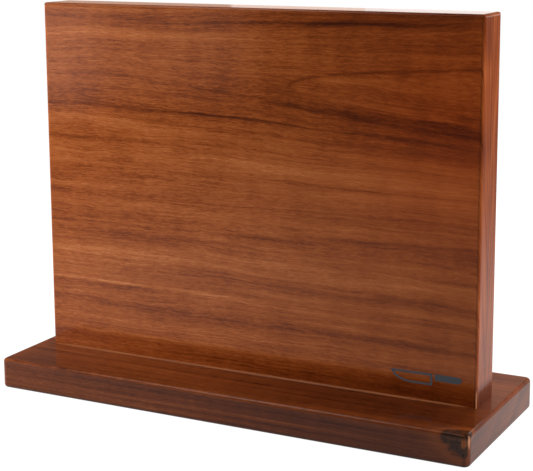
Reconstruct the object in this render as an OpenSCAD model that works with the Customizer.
// Free-standing magnetic knife block: an upright wooden panel on a flat base board.
// Steel blades cling to both broad faces of the panel. The panel is two boards glued
// back to back, with rows of bar magnets in grooves milled into the glued faces.
//
// Origin on the table under the middle of the block. +X runs along the panel, the
// front face looks towards -Y, +Z is up. Millimetres.

/* [Panel] */
// Width of the upright panel
panel_w = 306; // [292:2:320]
// Height of the upright panel above the base board
panel_h = 234; // [214:2:260]
// Thickness of the panel, both boards together
panel_t = 29; // [28:0.5:34]
// Radius of the panel's eased edges
panel_edge_r = 2; // [0.5:0.25:2.5]

/* [Base] */
// Width of the base board
base_w = 328; // [322:2:380]
// Depth of the base board, front to back
base_d = 119; // [100:1:160]
// Thickness of the base board
base_t = 20; // [19:0.5:26]
// Radius of the base board's eased edges
base_edge_r = 2.25; // [0.5:0.25:3]
// Radius of the base board's corners, seen from above
base_corner_r = 4; // [3.5:0.5:8]

/* [Magnets] */
// Bar magnets side by side in each row
magnets_per_row = 5; // [3:1:5]
// Length of one bar magnet, along the row
magnet_l = 40; // [30:1:44]
// Height of one bar magnet
magnet_h = 20; // [14:1:24]
// Thickness of one bar magnet
magnet_t = 10; // [6:0.5:10]
// Gap between neighbouring magnets
magnet_gap = 12; // [2:1:12]
// Height of the lower row's middle above the base board
lower_row_z = 62; // [56:1:80]
// Height of the upper row's middle above the base board
upper_row_z = 172; // [130:1:180]
// Wood left between a magnet and the blade
face_skin = 2.5; // [1.5:0.25:2.5]

/* [Fasteners] */
// Length of the wood screws that hold the panel to the base
screw_l = 45; // [38:1:50]
// Depth of the counterbores that sink the screw heads
counterbore_depth = 6; // [4:0.5:7]
// Diameter of the dowels between the panel and the base
base_dowel_d = 8; // [6:1:10]
// Diameter of the dowels between the two boards
board_dowel_d = 6; // [5:1:8]

/* [Feet] */
// Diameter of a foot
foot_d = 12; // [8:1:16]
// How far the feet lift the base board off the table
foot_proud = 1; // [0.5:0.25:2]

/* [Hidden] */
$fn = 48;
EPS = 0.01;

WOOD_PANEL = "#7a3a18";
WOOD_BASE = "#5f352a";
WOOD_DOWEL = "#c9a06c";
FERRITE = "#3a3b3d";
STEEL = "#b4b8bc";
SILICONE = "#dcdcd6";

SIDES = ["front", "rear"];
ROWS = ["lower", "upper"];
ENDS = ["left", "right"];
MAGNETS = [for (n = [1 : magnets_per_row]) n];

// Heights
base_bottom = foot_proud;
base_top = base_bottom + base_t;
board_t = panel_t / 2;

// Magnet rows: each groove is open to the glued face and stops one skin short of the
// outer face. The steel keeper strip lies on the magnets' backs.
fit_gap = 0.5;
groove_corner_r = 4;
keeper_t = 1.5;
magnet_edge_r = 0.6;
magnet_pitch = magnet_l + magnet_gap;
row_l = magnets_per_row * magnet_pitch - magnet_gap;
groove_l = row_l + 2 * groove_corner_r;
groove_h = magnet_h + 2 * fit_gap;
groove_depth = board_t - face_skin;

// Every blind hole is this much deeper than what goes into it
hole_spare = 0.25;

// Dowels
dowel_fit = 0.05;
dowel_chamfer = 0.6;
base_dowel_l = 30;
base_dowel_x = 68;
board_dowel_l = 20;
board_dowel_x = panel_w / 2 - 11;
board_dowel_inset_z = 26;

// Countersunk cross-head wood screws, two into the bottom edge of each board
screw_x = 110;
screw_y = board_t / 2;
head_r = 4.3;
head_rim = 0.5;
head_h = 2.9;
shank_r = 2.25;
shank_l = 13;
thread_core_r = 1.6;
thread_pitch = 1.8;
tip_l = 4;
screw_clearance = 0.1;
counterbore_r = 5.2;
head_z = base_bottom + counterbore_depth;
thread_turns = floor((screw_l - shank_l - tip_l) / thread_pitch);
recess_r = 2.3;
recess_tip_r = 0.7;
recess_blade = 0.9;
recess_depth = 2;

// Feet
foot_recess = 1.5;
foot_fit = 0.1;
foot_chamfer = 0.4;
foot_inset = 17;

function row_z(row) = base_top + (row == "lower" ? lower_row_z : upper_row_z);
function end_sign(end) = end == "left" ? -1 : 1;
function side_turn(side) = side == "front" ? 0 : 180;
function magnet_x(n) = (n - (magnets_per_row + 1) / 2) * magnet_pitch;
function board_dowel_z(row) =
    row == "lower" ? base_top + board_dowel_inset_z : base_top + panel_h - board_dowel_inset_z;

// A rectangle about the origin with round corners
module rounded_rect(w, h, r) {
    square([w - 2 * r, h], center = true);
    square([w, h - 2 * r], center = true);
    for (x = [-1, 1], y = [-1, 1])
        translate([x * (w / 2 - r), y * (h / 2 - r)]) circle(r);
}

// A block about the origin with all twelve edges eased to the same radius
module eased_block(w, d, h, r) {
    intersection() {
        linear_extrude(h, center = true) rounded_rect(w, d, r);
        rotate([90, 0, 0]) linear_extrude(d, center = true) rounded_rect(w, h, r);
        rotate([90, 0, 90]) linear_extrude(w, center = true) rounded_rect(d, h, r);
    }
}

// A block about the origin with its edges eased to r and its upright corners rounded to corner_r
module soft_cornered_block(w, d, h, r, corner_r) {
    rotate([90, 0, 0]) linear_extrude(d - 2 * corner_r, center = true) rounded_rect(w, h, r);
    rotate([90, 0, 90]) linear_extrude(w - 2 * corner_r, center = true) rounded_rect(d, h, r);
    for (x = [-1, 1], y = [-1, 1])
        translate([x * (w / 2 - corner_r), y * (d / 2 - corner_r), 0]) rotate_extrude()
            intersection() {
                rounded_rect(2 * corner_r, h, r);
                translate([0, -h]) square([corner_r, 2 * h]);
            }
}

// A round peg along +Z from the origin, chamfered at both ends
module peg(r, l, chamfer) {
    rotate_extrude()
        polygon([[0, 0], [r - chamfer, 0], [r, chamfer], [r, l - chamfer], [r - chamfer, l], [0, l]]);
}

// Where the parts that hold the block together stand
module at_screws() {
    for (x = [-1, 1], y = [-1, 1]) translate([x * screw_x, y * screw_y, head_z]) children();
}

module at_base_dowel(end) {
    translate([end_sign(end) * base_dowel_x, 0, base_top]) children();
}

module at_board_dowel(row, end) {
    translate([end_sign(end) * board_dowel_x, 0, board_dowel_z(row)]) rotate([90, 0, 0]) children();
}

module at_foot(side, end) {
    y = side == "front" ? -1 : 1;
    translate([end_sign(end) * (base_w / 2 - foot_inset), y * (base_d / 2 - foot_inset), 0]) children();
}

// Holes for the dowels, a little longer than the dowels themselves
module dowel_holes() {
    base_l = base_dowel_l + 2 * hole_spare;
    board_l = board_dowel_l + 2 * hole_spare;
    for (end = ENDS) {
        at_base_dowel(end) cylinder(h = base_l, r = base_dowel_d / 2 + dowel_fit, center = true);
        for (row = ROWS)
            at_board_dowel(row, end)
                cylinder(h = board_l, r = board_dowel_d / 2 + dowel_fit, center = true);
    }
}

// The screw's own path: counterbore, countersink, then a hole to the thread's outer size
module screw_hole() {
    hole_r = shank_r + screw_clearance;
    translate([0, 0, -counterbore_depth - EPS])
        cylinder(h = counterbore_depth + EPS + head_rim, r = counterbore_r);
    translate([0, 0, head_rim])
        cylinder(h = head_h - head_rim, r1 = head_r + screw_clearance, r2 = hole_r);
    translate([0, 0, head_h - EPS]) cylinder(h = screw_l - head_h + hole_spare, r = hole_r);
}

// One board of the panel, on the front side: outer face towards -Y, glued face at y = 0
module front_side_board() {
    difference() {
        intersection() {
            // Longer than the board by one radius, so that its foot is cut off square
            translate([0, 0, base_top + (panel_h - panel_edge_r) / 2])
                eased_block(panel_w, panel_t, panel_h + panel_edge_r, panel_edge_r);
            translate([-panel_w, -panel_t, base_top]) cube([2 * panel_w, panel_t, panel_h + 1]);
        }
        for (row = ROWS)
            translate([0, 0, row_z(row)]) rotate([90, 0, 0])
                translate([0, 0, -1])
                    linear_extrude(groove_depth + 1) rounded_rect(groove_l, groove_h, groove_corner_r);
        dowel_holes();
        at_screws() screw_hole();
    }
}

module front_board() {
    color(WOOD_PANEL) front_side_board();
}

module rear_board() {
    color(WOOD_PANEL) rotate([0, 0, 180]) front_side_board();
}

module base_board() {
    color(WOOD_BASE) difference() {
        translate([0, 0, base_bottom + base_t / 2])
            soft_cornered_block(base_w, base_d, base_t, base_edge_r, base_corner_r);
        dowel_holes();
        at_screws() screw_hole();
        for (side = SIDES, end = ENDS)
            at_foot(side, end)
                cylinder(h = base_bottom + foot_recess, r = foot_d / 2 + foot_fit);
    }
}

module magnet(side, row, n) {
    color(FERRITE) rotate([0, 0, side_turn(side)])
        translate([magnet_x(n), -groove_depth + magnet_t / 2, row_z(row)])
            eased_block(magnet_l, magnet_t, magnet_h, magnet_edge_r);
}

module keeper_strip(side, row) {
    color(STEEL) rotate([0, 0, side_turn(side)])
        translate([-row_l / 2, -groove_depth + magnet_t, row_z(row) - magnet_h / 2])
            cube([row_l, keeper_t, magnet_h]);
}

module board_dowel(row, end) {
    color(WOOD_DOWEL) at_board_dowel(row, end) translate([0, 0, -board_dowel_l / 2])
        peg(board_dowel_d / 2, board_dowel_l, dowel_chamfer);
}

module base_dowel(end) {
    color(WOOD_DOWEL) at_base_dowel(end) translate([0, 0, -base_dowel_l / 2])
        peg(base_dowel_d / 2, base_dowel_l, dowel_chamfer);
}

// Cross recess: two crossed blades inside a tapered bore
module cross_recess() {
    intersection() {
        translate([0, 0, -EPS]) cylinder(h = recess_depth, r1 = recess_r, r2 = recess_tip_r);
        for (a = [0, 90]) rotate([0, 0, a])
            translate([-recess_r, -recess_blade / 2, -1]) cube([2 * recess_r, recess_blade, recess_depth + 1]);
    }
}

// A screw standing point up on its head, with the thread as a row of ridges
module wood_screw() {
    thread_z = shank_l;
    ridges = [for (i = [0 : thread_turns - 1])
        each [[thread_core_r, thread_z + i * thread_pitch],
              [shank_r, thread_z + (i + 0.5) * thread_pitch]]];
    thread_end = thread_z + thread_turns * thread_pitch;
    difference() {
        rotate_extrude() polygon(concat(
            [[0, 0], [head_r, 0], [head_r, head_rim], [shank_r, head_h], [shank_r, thread_z - 1]],
            ridges,
            [[thread_core_r, thread_end], [0, screw_l]]
        ));
        cross_recess();
    }
}

module base_screws() {
    color(STEEL) at_screws() wood_screw();
}

module foot(side, end) {
    foot_h = foot_proud + foot_recess;
    r = foot_d / 2;
    color(SILICONE) at_foot(side, end) rotate_extrude()
        polygon([[0, 0], [r - foot_chamfer, 0], [r, foot_chamfer], [r, foot_h], [0, foot_h]]);
}

base_board();
front_board();
rear_board();
for (s = SIDES, r = ROWS, n = MAGNETS)
    magnet(s, r, n);
for (s = SIDES, r = ROWS)
    keeper_strip(s, r);
for (r = ROWS, e = ENDS)
    board_dowel(r, e);
for (e = ENDS)
    base_dowel(e);
base_screws();
for (s = SIDES, e = ENDS)
    foot(s, e);
